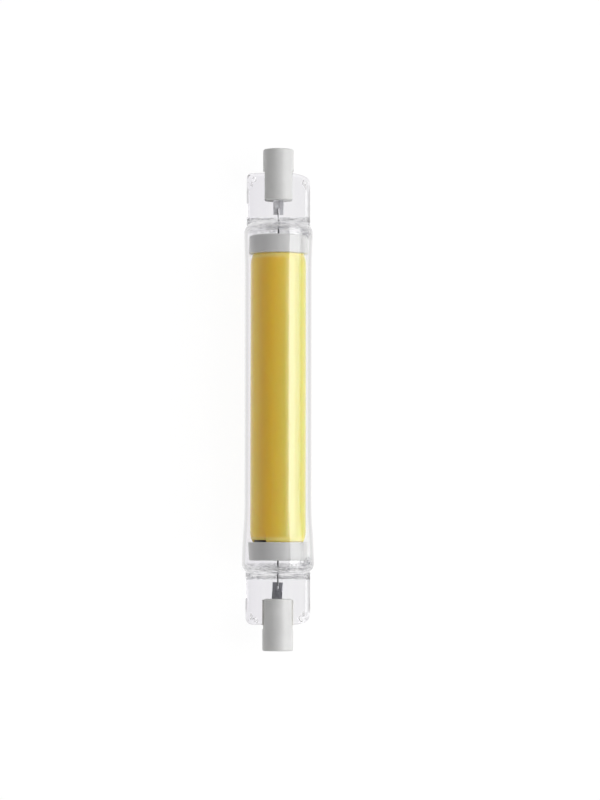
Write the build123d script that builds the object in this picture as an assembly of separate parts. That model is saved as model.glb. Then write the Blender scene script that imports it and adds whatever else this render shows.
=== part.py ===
from build123d import *
import os
from dataclasses import dataclass
from math import cos, pi, radians, sqrt

# Double-ended linear LED lamp, 118 mm class, lying on its glass tube.
# X is the lamp's axis, Y lies across the flat tabs and Z is up. The origin is the lamp's centre.
# All lengths are in millimetres and all angles in degrees.

# Whole lamp
LAMP_LENGTH = 117.6
GLASS_SHIFT = 0.3  # how far the glass and all in it sit towards the right cap

# Glass envelope
TUBE_DIAMETER = 15.7
TUBE_WALL = 0.8
CAP_STANDOUT = 5.75  # from a tab's outer edge to the lamp's end, before the shift
TAB_LENGTH = 11.7
TAB_THICKNESS = 2.7
TAB_BEAD = 3.3  # diameter of the melted bead along each side of a tab
TAB_EDGE_ROUND = 0.9
BEAD_SETBACK = 0.1  # from a tab's outer edge to the end of its beads
RIGHT_TAB_TAPER = 0.8  # how much narrower than the tube the tab is
LEFT_TAB_TAPER = 0.6
RIGHT_TAB_CORNERS = (1.2, 2.1)  # corner radii towards +Y and -Y
LEFT_TAB_CORNERS = (1.7, 2.5)
SHOULDER_DEPTH = 2.8  # from the end of the flare to the shoulder's flat end
SHOULDER_CORNER = 2.3  # the round between the shoulder's side and its flat end
ROOT_THICKNESS = 1.2  # solid glass between the hollow and the tab
ROOT_FILLET = 0.8  # where the tab runs into the shoulder
RIGHT_FLARE_SWELL = 0.4  # how much wider than the tube the flare gets
RIGHT_FLARE_LENGTH = 9.0
LEFT_FLARE_SWELL = 1.2
LEFT_FLARE_LENGTH = 14.0

# Ceramic caps, the cement in them and their contacts
CAP_DIAMETER = 7.25
CAP_LENGTH = 12.15
CAP_ROUND = 0.4
CEMENT_FILM = 0.25  # between each face of the tab and the slot
CEMENT_BED = 0.35  # between the right tab's edge and the foot of the slot
RIGHT_CEMENT_INSET = 0.5  # from the cap's round to the cement beside the tab
LEFT_CEMENT_INSET = -0.25  # squeezed out past the slot's edges
BED_INSET = 0.2
RECESS_DIAMETER = 3.5
RECESS_DEPTH = 1.7
CONTACT_HEAD_DIAMETER = 2.9
CONTACT_HEAD = 0.5
CONTACT_CHAMFER = 0.12
CONTACT_CLEARANCE = 0.05
CONTACT_TAIL_DIAMETER = 2.0
CONTACT_TAIL_LENGTH = 1.8

# Leads and sealing foils
OUTER_LEAD_DIAMETER = 0.8
LEAD_WIRE_DIAMETER = 0.4
FOIL_WIDTH = 2.45
FOIL_THICKNESS = 0.1
FOIL_SETBACK = 1.75  # from the shoulder's end to the foil
FOIL_MARGIN = 2.3  # from the foil to the tab's outer edge
WELD_OVERLAP = 1.5
LEFT_FOIL_LEAN = 3.0

# LED unit
UNIT_GAP = 0.5  # from a plug's outer face to where the tube starts to close
PHOSPHOR_GAP = 0.55  # between the resin and the glass
PHOSPHOR_THICKNESS = 0.85
PHOSPHOR_TAPER = 2.8  # length over which the resin thins out at each end
PHOSPHOR_EDGE = 0.1  # thickness that is left at each end
PHOSPHOR_SEAM = 0.8
BOARD_THICKNESS = 0.6
BOARD_SEAM = 0.3
NOTCH_LENGTH = 0.45
NOTCH_ARC = 33.0
NOTCH_ANGLE = 39.0  # from the top towards +Y
CHIP_ROWS = 9
CHIPS_PER_ROW = 20
CHIP_LENGTH = 1.1
CHIP_WIDTH = 0.55
CHIP_HEIGHT = 0.15
CHIP_MARGIN = 1.6  # from the end of the board to the first chip

# End plugs
PLUG_LENGTH = 4.3
PLUG_CLEARANCE = 0.1
PLUG_DRAFT = 0.2
PLUG_ROUND = 0.5
PLUG_FLOOR = 1.2
SPIGOT_LENGTH = 4.0
SPIGOT_WALL = 0.9
SPIGOT_CLEARANCE = 0.05
LEAD_HOLE_CLEARANCE = 0.1

# Driver
DRIVER_THICKNESS = 1.0
DRIVER_EDGE_GAP = 0.25  # between the driver board's lower corners and the rolled board
DRIVER_INSERTION = 4.3  # how deep the board sits in the right plug
GROOVE_CLEARANCE = 0.05
LEAD_LANDING = 2.8  # length of lead wire that is soldered on the board
PART_GAP = 1.0  # between neighbours on the driver board
RECTIFIER_LENGTH = 4.8
RECTIFIER_WIDTH = 3.9
RECTIFIER_HEIGHT = 2.4
REGULATOR_LENGTH = 4.9
REGULATOR_WIDTH = 3.9
REGULATOR_HEIGHT = 1.5
REGULATOR_COUNT = 2
LEG_WIDTH = 0.45
LEG_THICKNESS = 0.2
LEG_REACH = 1.0
LEG_BEND = 0.4  # from the body to where a leg turns down
BODY_CHAMFER = 0.2
STANDOFF = 0.15  # between a body and the board
SENSE_LENGTH = 1.2
SENSE_WIDTH = 2.0
SENSE_HEIGHT = 0.5
SENSE_COUNT = 3
SENSE_GAP = 0.6
FUSE_DIAMETER = 2.2
FUSE_LENGTH = 5.0
FUSE_ROUND = 0.33
FUSE_LEAD_DIAMETER = 0.5
FUSE_PITCH = 7.0  # between its two legs
FUSE_EDGE = 1.1  # between the fuse and the driver board's edge
SLEEVE_DIAMETER = 1.2
SLEEVE_BORE = 0.5
SLEEVE_SETBACK = 0.4
LINK_DIAMETER = 0.5
LINK_EDGE = 0.9  # from the driver board's edge to a link wire

# Places along the glass are counted from its own centre, and places along a cap from the lamp's
CAP_OUTER = LAMP_LENGTH / 2
CAP_INNER = CAP_OUTER - CAP_LENGTH
CAP_RADIUS = CAP_DIAMETER / 2
TUBE_RADIUS = TUBE_DIAMETER / 2
TAB_END = CAP_OUTER - CAP_STANDOUT
SHOULDER_END = TAB_END - TAB_LENGTH
SHOULDER_START = SHOULDER_END - SHOULDER_DEPTH
SLOT_END = TAB_END + GLASS_SHIFT + CEMENT_BED
SLOT_HEIGHT = TAB_THICKNESS + 2 * CEMENT_FILM
RECESS_FLOOR = CAP_OUTER - RECESS_DEPTH
CONTACT_FACE = RECESS_FLOOR - CONTACT_CLEARANCE
CONTACT_BACK = CONTACT_FACE - CONTACT_HEAD
FOIL_START = SHOULDER_END + FOIL_SETBACK
FOIL_LENGTH = TAB_END - FOIL_MARGIN - FOIL_START
FOIL_TOP = -OUTER_LEAD_DIAMETER / 2
LEAD_AXIS_Z = FOIL_TOP + LEAD_WIRE_DIAMETER / 2
PLUG_OUTER = SHOULDER_START - UNIT_GAP
UNIT_END = PLUG_OUTER - PLUG_LENGTH
PHOSPHOR_RADIUS = TUBE_RADIUS - TUBE_WALL - PHOSPHOR_GAP
BOARD_OUTER = PHOSPHOR_RADIUS - PHOSPHOR_THICKNESS
BOARD_INNER = BOARD_OUTER - BOARD_THICKNESS
DRIVER_TOP = FOIL_TOP
DRIVER_BOTTOM = DRIVER_TOP - DRIVER_THICKNESS
DRIVER_WIDTH = 2 * sqrt((BOARD_INNER - DRIVER_EDGE_GAP) ** 2 - DRIVER_BOTTOM**2)
DRIVER_RIGHT = UNIT_END - SPIGOT_LENGTH + DRIVER_INSERTION

# Places of the driver's parts, counted from the board's right end
FUSE_PLACE = DRIVER_INSERTION + PART_GAP + FUSE_PITCH / 2
RECTIFIER_PLACE = FUSE_PLACE + FUSE_PITCH / 2 + PART_GAP + RECTIFIER_LENGTH / 2
LINK_PLACE = RECTIFIER_PLACE + RECTIFIER_LENGTH / 2 + PART_GAP
REGULATOR_PLACE = LINK_PLACE + PART_GAP + REGULATOR_LENGTH / 2
REGULATOR_PITCH = REGULATOR_LENGTH + PART_GAP
SENSE_PLACE = REGULATOR_PLACE + REGULATOR_PITCH * REGULATOR_COUNT - REGULATOR_LENGTH / 2 + SENSE_LENGTH / 2
SENSE_PITCH = SENSE_LENGTH + SENSE_GAP
DRIVER_LENGTH = SENSE_PLACE + SENSE_PITCH * (SENSE_COUNT - 1) + SENSE_LENGTH / 2 + PART_GAP + LEAD_LANDING


@dataclass
class End:
    """What differs between the lamp's two ends. Each end is modelled on +X."""

    name: str
    side: int
    flare_swell: float
    flare_length: float
    tab_taper: float
    tab_corners: tuple
    cement_inset: float
    foil_lean: float

    def glass_x(self, distance):
        """Place on +X of what lies this far from the glass's centre."""
        return distance + self.side * GLASS_SHIFT

    def settle(self, shape):
        """Turns a shape modelled on +X to this end of the lamp."""
        return shape if self.side > 0 else mirror(shape, about=Plane.YZ)


RIGHT = End(
    "right", 1, RIGHT_FLARE_SWELL, RIGHT_FLARE_LENGTH, RIGHT_TAB_TAPER, RIGHT_TAB_CORNERS,
    RIGHT_CEMENT_INSET, foil_lean=0)
LEFT = End(
    "left", -1, LEFT_FLARE_SWELL, LEFT_FLARE_LENGTH, LEFT_TAB_TAPER, LEFT_TAB_CORNERS,
    LEFT_CEMENT_INSET, LEFT_FOIL_LEAN)
ENDS = (RIGHT, LEFT)


def rod(start, end, radius, y=0.0, z=0.0):
    """A round bar along X."""
    return extrude(Plane((start, y, z), x_dir=(0, 1, 0), z_dir=(1, 0, 0)) * Circle(radius), end - start)


def tube(start, end, outer_radius, inner_radius):
    """A round tube along X."""
    return rod(start, end, outer_radius) - rod(start, end, inner_radius)


def slab(start, end, width, bottom, top, y=0.0):
    """A block from start to end along X, centred on y."""
    middle = Pos((start + end) / 2, y, (bottom + top) / 2)
    return middle * Box(end - start, width, top - bottom)


def one(shape):
    """The single solid of a shape."""
    return shape.solids().sort_by(SortBy.VOLUME)[-1]


# Glass envelope


def oval(x, half_width, half_height):
    return Plane((x, 0, 0), x_dir=(0, 1, 0), z_dir=(1, 0, 0)) * Ellipse(half_width, half_height)


def flare(end, inset):
    """The stretch where the round tube widens across the tab, with its skin moved in by inset."""
    steps = 4
    sections = []
    for step in range(steps + 1):
        share = step / steps
        swell = end.flare_swell / 2 * (1 - cos(pi * share)) / 2
        x = end.glass_x(SHOULDER_START - end.flare_length * (1 - share))
        sections.append(oval(x, TUBE_RADIUS - inset + swell, TUBE_RADIUS - inset))
    return loft(sections)


def shoulder(end, inset, depth):
    """The closing shoulder, which carries the flare's last section on to a flat end with a round corner."""
    half_width = TUBE_RADIUS - inset + end.flare_swell / 2
    body = extrude(oval(end.glass_x(SHOULDER_START), half_width, TUBE_RADIUS - inset), depth)
    return fillet(body.edges().sort_by(Axis.X)[-1], SHOULDER_CORNER - inset)


def tab(end):
    """The flat pinched tab: a plate with soft edges and corners between two thick melted beads."""
    start = end.glass_x(SHOULDER_START + SHOULDER_DEPTH / 4)
    stop = end.glass_x(TAB_END)
    half_width = (TUBE_DIAMETER - end.tab_taper) / 2
    bead_radius = TAB_BEAD / 2
    outline = Pos((start + stop) / 2, 0) * Rectangle(stop - start, 2 * half_width - bead_radius)
    sides = (1, -1)
    for side, radius in zip(sides, end.tab_corners):
        corner = outline.vertices().sort_by(lambda point: point.X + side * point.Y)[-1]
        outline = fillet(corner, radius)
    plate = extrude(outline, TAB_THICKNESS / 2, both=True)
    faces = plate.faces().sort_by(Axis.Z)
    plate = fillet(faces[0].edges() + faces[-1].edges(), TAB_EDGE_ROUND)
    for side, radius in zip(sides, end.tab_corners):
        y = side * (half_width - bead_radius)
        bead_stop = stop - BEAD_SETBACK - max(bead_radius, radius)
        plate += rod(start, bead_stop, bead_radius, y)
        plate += Pos(bead_stop, y, 0) * Sphere(bead_radius)
    return plate


def closed_end(end):
    """The flare, the shoulder and the tab, with a fillet where the tab leaves the shoulder."""
    body = flare(end, 0) + shoulder(end, 0, SHOULDER_DEPTH) + tab(end)
    start = end.glass_x(SHOULDER_END - SHOULDER_CORNER * 0.9)
    stop = end.glass_x(SHOULDER_END + TAB_LENGTH / 10)
    boxes = [(edge, edge.bounding_box()) for edge in body.edges()]
    root = [edge for edge, box in boxes if box.min.X > start and box.max.X < stop and box.max.Z < TAB_BEAD]
    root = [edge for edge in root if edge.bounding_box().min.Z > -TAB_BEAD]
    return fillet(root, ROOT_FILLET)


def round_run(radius):
    """The straight round stretch between the two flares."""
    start = LEFT.glass_x(SHOULDER_START - LEFT.flare_length)
    stop = RIGHT.glass_x(SHOULDER_START - RIGHT.flare_length)
    return rod(-start, stop, radius)


def glass_envelope():
    """One blown and pinched piece, hollow between its shoulders and solid from there out."""
    body = round_run(TUBE_RADIUS)
    hollow = round_run(TUBE_RADIUS - TUBE_WALL)
    for end in ENDS:
        body += end.settle(closed_end(end))
        hollow += end.settle(flare(end, TUBE_WALL))
        hollow += end.settle(shoulder(end, TUBE_WALL, SHOULDER_DEPTH - ROOT_THICKNESS))
    body -= hollow
    for end in ENDS:
        body -= foil(end)
        body -= lead_wire(end)
        body -= outer_lead(end)
    return one(body)


# Leads, foils, caps and contacts


def foil(end):
    flat = slab(0, FOIL_LENGTH, FOIL_WIDTH, FOIL_TOP - FOIL_THICKNESS, FOIL_TOP)
    return one(end.settle(Pos(end.glass_x(FOIL_START), 0, 0) * Rot(0, 0, end.foil_lean) * flat))


def lead_wire(end):
    """The thin inner lead, welded on the foil. It ends on the driver board."""
    stop = end.glass_x(FOIL_START) + WELD_OVERLAP
    landing = DRIVER_RIGHT - LEAD_LANDING
    if end is LEFT:
        landing = DRIVER_LENGTH - DRIVER_RIGHT - LEAD_LANDING
    return one(end.settle(rod(end.glass_x(landing), stop, LEAD_WIRE_DIAMETER / 2, 0, LEAD_AXIS_Z)))


def outer_lead(end):
    """The stiff outer lead, welded on the foil and crimped in the contact."""
    start = end.glass_x(FOIL_START) + FOIL_LENGTH * cos(radians(end.foil_lean)) - WELD_OVERLAP
    return one(end.settle(rod(start, CONTACT_BACK, OUTER_LEAD_DIAMETER / 2)))


def ceramic_cap(end):
    body = rod(CAP_INNER, CAP_OUTER, CAP_RADIUS)
    body = fillet(body.edges().filter_by(GeomType.CIRCLE), CAP_ROUND)
    body -= slab(CAP_INNER, SLOT_END, CAP_DIAMETER, -SLOT_HEIGHT / 2, SLOT_HEIGHT / 2)
    body -= rod(RECESS_FLOOR, CAP_OUTER, RECESS_DIAMETER / 2)
    body -= rod(CONTACT_BACK, RECESS_FLOOR, CONTACT_HEAD_DIAMETER / 2 + CONTACT_CLEARANCE)
    body -= rod(SLOT_END, CONTACT_BACK, CONTACT_TAIL_DIAMETER / 2 + CONTACT_CLEARANCE)
    return one(end.settle(body))


def contact(end):
    """A rivet with a flat head sunk in the recess's floor and a tail round the lead."""
    body = rod(CONTACT_BACK, CONTACT_FACE, CONTACT_HEAD_DIAMETER / 2)
    body = chamfer(body.faces().sort_by(Axis.X)[-1].edges(), CONTACT_CHAMFER)
    tail_start = CONTACT_BACK - CONTACT_TAIL_LENGTH
    body += tube(tail_start, CONTACT_BACK, CONTACT_TAIL_DIAMETER / 2, OUTER_LEAD_DIAMETER / 2)
    return one(end.settle(body))


def cement(end):
    """The cement round the tab and behind it, up to the foot of the slot."""
    tab_stop = end.glass_x(TAB_END)
    body = rod(CAP_INNER + CEMENT_FILM, tab_stop, CAP_RADIUS - end.cement_inset)
    body += rod(tab_stop, SLOT_END, CAP_RADIUS - max(end.cement_inset, BED_INSET))
    body &= slab(CAP_INNER, SLOT_END, 2 * CAP_DIAMETER, -SLOT_HEIGHT / 2, SLOT_HEIGHT / 2)
    body -= tab(end)
    body -= rod(CAP_INNER, SLOT_END, OUTER_LEAD_DIAMETER / 2)
    return one(end.settle(body))


# LED unit


def seam(width):
    """A slot along the bottom of the rolled board."""
    return slab(GLASS_SHIFT - UNIT_END, GLASS_SHIFT + UNIT_END, width, -PHOSPHOR_RADIUS, 0)


def led_board():
    """The board rolled into a tube, with its two long edges almost meeting at the bottom."""
    rolled = tube(GLASS_SHIFT - UNIT_END, GLASS_SHIFT + UNIT_END, BOARD_OUTER, BOARD_INNER)
    return one(rolled - seam(BOARD_SEAM))


def chips(height_below):
    """One block for each LED chip, in rows round the board, reaching height_below under its foot."""
    blocks = []
    span = 2 * (UNIT_END - CHIP_MARGIN) - CHIP_LENGTH
    height = CHIP_HEIGHT + height_below
    for row in range(CHIP_ROWS):
        turn = Rot((row + 0.5) * 360 / CHIP_ROWS, 0, 0)
        for place in range(CHIPS_PER_ROW):
            x = GLASS_SHIFT - span / 2 + span * place / (CHIPS_PER_ROW - 1)
            block = Pos(x, 0, -BOARD_OUTER + height_below - height / 2) * Box(CHIP_LENGTH, CHIP_WIDTH, height)
            blocks.append(turn * block)
    return blocks


def phosphor_sleeve():
    """The cast resin: full thickness in the middle, thinning in a curve to the board at both ends."""
    half = UNIT_END
    crown_end = half - PHOSPHOR_TAPER
    edge_radius = BOARD_OUTER + PHOSPHOR_EDGE
    rise = PHOSPHOR_RADIUS - edge_radius
    centre = (crown_end, edge_radius)
    right_curve = EllipticalCenterArc(centre, PHOSPHOR_TAPER, rise, start_angle=0, arc_size=90)
    left_curve = mirror(right_curve, about=Plane.YZ)
    crown = Line((-crown_end, PHOSPHOR_RADIUS), (crown_end, PHOSPHOR_RADIUS))
    foot = Polyline((-half, edge_radius), (-half, BOARD_OUTER), (half, BOARD_OUTER), (half, edge_radius))
    body = Pos(GLASS_SHIFT, 0, 0) * revolve(make_face([right_curve, crown, left_curve, foot]), Axis.X)
    body -= seam(PHOSPHOR_SEAM)
    body -= notch()
    body -= chips(CHIP_HEIGHT)
    return one(body)


def notch():
    """The short gap that the resin leaves at the left end of the board."""
    bite = Pos(GLASS_SHIFT - UNIT_END + NOTCH_LENGTH / 2, BOARD_OUTER) * Rectangle(NOTCH_LENGTH, BOARD_OUTER)
    wedge = revolve(bite, Axis.X, revolution_arc=NOTCH_ARC)
    return Rot(90 - NOTCH_ANGLE - NOTCH_ARC / 2, 0, 0) * wedge


def end_plug(end):
    """A moulded cup: a tapered head against the glass and a hollow spigot inside the rolled board."""
    inner = UNIT_END
    outer = PLUG_OUTER
    rim = TUBE_RADIUS - TUBE_WALL - PLUG_CLEARANCE
    spigot = BOARD_INNER - SPIGOT_CLEARANCE
    bore = spigot - SPIGOT_WALL
    floor = outer - PLUG_FLOOR
    profile = make_face(Polyline(
        (floor, 0), (outer, 0), (outer, rim - PLUG_DRAFT), (inner, rim), (inner, spigot),
        (inner - SPIGOT_LENGTH, spigot), (inner - SPIGOT_LENGTH, bore), (floor, bore), close=True))
    body = revolve(profile, Axis.X)
    body = fillet(body.faces().sort_by(Axis.X)[-1].edges(), PLUG_ROUND)
    body -= rod(floor, outer, LEAD_WIRE_DIAMETER / 2 + LEAD_HOLE_CLEARANCE, 0, LEAD_AXIS_Z)
    if end is RIGHT:
        groove = DRIVER_THICKNESS / 2 + GROOVE_CLEARANCE
        middle = DRIVER_TOP - DRIVER_THICKNESS / 2
        body -= slab(inner - SPIGOT_LENGTH, DRIVER_RIGHT, DRIVER_WIDTH + 2 * GROOVE_CLEARANCE,
                     middle - groove, middle + groove)
    return one(end.settle(Pos(end.side * GLASS_SHIFT, 0, 0) * body))


# Driver


def on_driver(from_right):
    """Place on X of what lies this far from the driver board's right end."""
    return GLASS_SHIFT + DRIVER_RIGHT - from_right


def driver_board():
    return one(slab(on_driver(DRIVER_LENGTH), on_driver(0), DRIVER_WIDTH, DRIVER_BOTTOM, DRIVER_TOP))


def legged_body(x, length, width, height, legs_per_side):
    """A moulded body with gull-wing legs along both sides."""
    low = DRIVER_TOP + STANDOFF
    body = slab(x - length / 2, x + length / 2, width, low, low + height)
    body = chamfer(body.faces().sort_by(Axis.Z)[-1].edges(), BODY_CHAMFER)
    root = width / 2 - LEG_REACH
    bend = width / 2 + LEG_BEND
    toe = width / 2 + LEG_REACH
    shoulder = low + height / 2
    foot_top = DRIVER_TOP + LEG_THICKNESS
    inside = bend - LEG_THICKNESS
    under = shoulder - LEG_THICKNESS
    leg = make_face(Polyline(
        (root, shoulder), (bend, shoulder), (bend, foot_top), (toe, foot_top),
        (toe, DRIVER_TOP), (inside, DRIVER_TOP), (inside, under), (root, under), close=True))
    for index in range(legs_per_side):
        leg_x = x + (index - (legs_per_side - 1) / 2) * length / legs_per_side
        strip = Pos(leg_x, 0, 0) * extrude(Plane.YZ * leg, LEG_WIDTH / 2, both=True)
        body += strip
        body += mirror(strip, about=Plane.XZ)
    return one(body)


def bridge_rectifier():
    return legged_body(on_driver(RECTIFIER_PLACE), RECTIFIER_LENGTH, RECTIFIER_WIDTH, RECTIFIER_HEIGHT, 2)


def current_regulators():
    parts = []
    for index in range(REGULATOR_COUNT):
        x = on_driver(REGULATOR_PLACE + index * REGULATOR_PITCH)
        parts.append(legged_body(x, REGULATOR_LENGTH, REGULATOR_WIDTH, REGULATOR_HEIGHT, 4))
    return parts


def sense_resistors():
    parts = []
    for index in range(SENSE_COUNT):
        x = on_driver(SENSE_PLACE + index * SENSE_PITCH)
        half = SENSE_LENGTH / 2
        parts.append(one(slab(x - half, x + half, SENSE_WIDTH, DRIVER_TOP, DRIVER_TOP + SENSE_HEIGHT)))
    return parts


def fuse_resistor():
    """A small axial resistor standing on its two bent legs."""
    x = on_driver(FUSE_PLACE)
    y = FUSE_EDGE + FUSE_DIAMETER / 2 - DRIVER_WIDTH / 2
    z = DRIVER_TOP + FUSE_DIAMETER / 2 + STANDOFF
    body = rod(x - FUSE_LENGTH / 2, x + FUSE_LENGTH / 2, FUSE_DIAMETER / 2, y, z)
    body = fillet(body.edges().filter_by(GeomType.CIRCLE), FUSE_ROUND)
    half = FUSE_PITCH / 2
    bend = FUSE_LEAD_DIAMETER
    path = FilletPolyline((-half, DRIVER_TOP), (-half, z), (half, z), (half, DRIVER_TOP), radius=bend)
    foot = Plane((x - half, y, DRIVER_TOP)) * Circle(FUSE_LEAD_DIAMETER / 2)
    body += sweep(foot, Pos(x, y, 0) * (Plane.XZ * path))
    return one(body)


def wire_sleeve():
    start = -LEFT.glass_x(PLUG_OUTER - PLUG_FLOOR)
    stop = on_driver(DRIVER_LENGTH) - SLEEVE_SETBACK
    return one(Pos(0, 0, LEAD_AXIS_Z) * tube(start, stop, SLEEVE_DIAMETER / 2, SLEEVE_BORE / 2))


def link_wires():
    """Two posts from the driver board up to the inside of the LED board."""
    wires = []
    offset = DRIVER_WIDTH / 2 - LINK_EDGE
    for y in (-offset, offset):
        foot = Plane((on_driver(LINK_PLACE), y, DRIVER_TOP)) * Circle(LINK_DIAMETER / 2)
        wires.append(one(extrude(foot, BOARD_INNER) & rod(-UNIT_END, UNIT_END, BOARD_INNER)))
    return wires


def build():
    """Every piece of the lamp by its node's name."""
    pieces = {"glass_envelope": glass_envelope()}
    pieces["phosphor_sleeve"] = phosphor_sleeve()
    pieces["led_board"] = led_board()
    pieces["led_chips"] = [one(block) for block in chips(0)]
    for end in ENDS:
        pieces[f"{end.name}_end_plug"] = end_plug(end)
        pieces[f"{end.name}_lead_wire"] = lead_wire(end)
        pieces[f"{end.name}_foil"] = foil(end)
        pieces[f"{end.name}_outer_lead"] = outer_lead(end)
        pieces[f"{end.name}_ceramic_cap"] = ceramic_cap(end)
        pieces[f"{end.name}_cement"] = cement(end)
        pieces[f"{end.name}_contact"] = contact(end)
    pieces["driver_board"] = driver_board()
    pieces["bridge_rectifier"] = bridge_rectifier()
    pieces["current_regulators"] = current_regulators()
    pieces["sense_resistors"] = sense_resistors()
    pieces["fuse_resistor"] = fuse_resistor()
    pieces["wire_sleeve"] = wire_sleeve()
    pieces["link_wires"] = link_wires()
    return pieces


os.makedirs("parts", exist_ok=True)
for node, piece in build().items():
    solid = Compound(children=piece) if isinstance(piece, list) else piece
    export_step(solid, f"parts/{node}.step")
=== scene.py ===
import math

import bmesh
import bpy
import numpy as np
from mathutils import Matrix, Vector, noise


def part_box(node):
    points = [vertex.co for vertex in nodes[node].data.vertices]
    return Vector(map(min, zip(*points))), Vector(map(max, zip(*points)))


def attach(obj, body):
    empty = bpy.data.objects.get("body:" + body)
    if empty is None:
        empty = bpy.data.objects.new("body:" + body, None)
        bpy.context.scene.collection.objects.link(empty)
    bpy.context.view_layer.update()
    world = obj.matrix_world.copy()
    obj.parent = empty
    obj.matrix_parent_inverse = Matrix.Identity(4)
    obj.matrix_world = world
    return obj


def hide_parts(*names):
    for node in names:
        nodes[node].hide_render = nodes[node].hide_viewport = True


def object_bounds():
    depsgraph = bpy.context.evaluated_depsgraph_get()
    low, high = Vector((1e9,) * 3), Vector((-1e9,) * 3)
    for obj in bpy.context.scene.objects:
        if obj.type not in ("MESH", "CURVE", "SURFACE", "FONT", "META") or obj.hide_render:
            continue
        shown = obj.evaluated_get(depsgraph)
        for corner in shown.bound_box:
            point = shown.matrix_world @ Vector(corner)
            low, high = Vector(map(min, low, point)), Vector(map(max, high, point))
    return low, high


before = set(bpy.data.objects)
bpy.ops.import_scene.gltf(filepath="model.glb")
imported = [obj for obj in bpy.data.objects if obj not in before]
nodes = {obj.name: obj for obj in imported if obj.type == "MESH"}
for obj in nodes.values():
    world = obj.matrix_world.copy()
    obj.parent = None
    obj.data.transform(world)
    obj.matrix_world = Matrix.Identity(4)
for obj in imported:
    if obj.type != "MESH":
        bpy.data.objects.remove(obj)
packed_low, packed_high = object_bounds()

# The lamp lies along X on its glass tube. Lengths are in millimetres, and MM turns them to metres.
MM = 0.001


def reach(node):
    """The corners of a node's box in millimetres."""
    low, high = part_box(node)
    return low / MM, high / MM


# Sizes of the frame's own pieces. Places along the glass are counted from its centre.
glass_low, glass_high = reach("glass_envelope")
board_low, board_high = reach("led_board")
plug_high = reach("right_end_plug")[1]
GLASS_CENTRE = (glass_low.x + glass_high.x) / 2
TAB_END = (glass_high.x - glass_low.x) / 2
TUBE_RADIUS = glass_high.z
BOARD_RADIUS = board_high.z
UNIT_HALF = (board_high.x - board_low.x) / 2
PLUG_OUTER = plug_high.x - GLASS_CENTRE
PLUG_RADIUS = plug_high.z

# Where the right foil starts, counted from the frame's origin
FOIL_START = reach("right_foil")[0].x

# Sizes of the glass that its box doesn't give
TUBE_WALL = 0.8
SHOULDER_START = PLUG_OUTER + 0.5
SHOULDER_DEPTH = 2.8
SHOULDER_CORNER = 2.3
SHOULDER_END = SHOULDER_START + SHOULDER_DEPTH
END_BULGE = 0.3
ROOT_THICKNESS = 1.2
ROOT_FILLET = 0.8
TAB_HALF_THICKNESS = 1.35
BEAD_RADIUS = 1.65
BEAD_RUN = 2.2
EDGE_ROUND = 0.95
FILLET_REACH = 0.4
TAB_RISE = (SHOULDER_END - 1.6, SHOULDER_END - 0.7)
SLANT_RUN = 4.0
SLANT_ACROSS = (2.5, 7.0)
HOLLOW_BULGE = 0.1

# Melted lumps on the tabs: each has its place along and across, its spread along and across, and the share
# by which it thickens the tab
RIGHT_LUMPS = [
    (51.4, 6.2, 0.45, 0.5, 0.36), (50.2, 6.5, 0.4, 0.3, 0.4), (50.9, -6.3, 0.5, 0.35, 0.45),
    (49.7, -6.5, 0.8, 0.25, 0.3)]
LEFT_LUMPS = [
    (51.2, 6.5, 0.9, 0.35, 0.35), (52.0, 5.5, 0.35, 0.4, 0.4), (50.6, -6.4, 0.5, 0.4, 0.4),
    (51.6, -5.6, 0.3, 0.35, 0.4)]

# How finely the glass is made: points round each skin, and rings along each stretch of it
OUTER_POINTS = 224
HOLLOW_POINTS = 160
FLARE_RINGS = 21
CORNER_RINGS = 18
FACE_RINGS = 15
ROOT_RINGS = 8
PLATE_RINGS = 39
EDGE_RINGS = 16
RING_GAP = 0.05

# Sizes of the cast resin, with its angles in degrees
RESIN_THICKNESS = 0.85
RESIN_TAPER = 2.8
RESIN_SEAM = 4.0
NOTCH_LENGTH = 0.45
NOTCH_START = 27.0
NOTCH_END = 74.0
NOTCH_EDGE = 0.6

# The share of the sleeve's turn over which the resin thins at each side of its seam, its points along and
# its points round
LIP_SHARE = 0.004
RESIN_COLUMNS = 110
RESIN_ROWS = 320

# Sizes of the board and of the plugs that carry it
BOARD_THICKNESS = 0.6
SPIGOT_LENGTH = 4.0
SPIGOT_WALL = 0.9
SPIGOT_GAP = 0.05
PLUG_FLOOR = 1.2
PLUG_DRAFT = 0.2
PLUG_CHAMFER = 0.12
PLUG_ROUND = 0.5
LEAD_HOLE = 0.3

# The sealing foils: their lean in degrees, how ragged their sides are as a share of their width, half the
# thickness of the frame's foils and of these, how far these leave their plane, and their points
FOIL_WIDTH = 2.45
FOIL_LEAN = {"right": 0.0, "left": 3.0}
FOIL_RAGGED = 0.05
CAD_FOIL_HALF = 0.05
FOIL_HALF = 0.03
FOIL_CRUMPLE = 0.07
FOIL_ROWS = 61
FOIL_COLUMNS = 25

WHITE = (1.0, 1.0, 1.0, 1.0)


# Node trees, for finishes and for shapes


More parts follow.
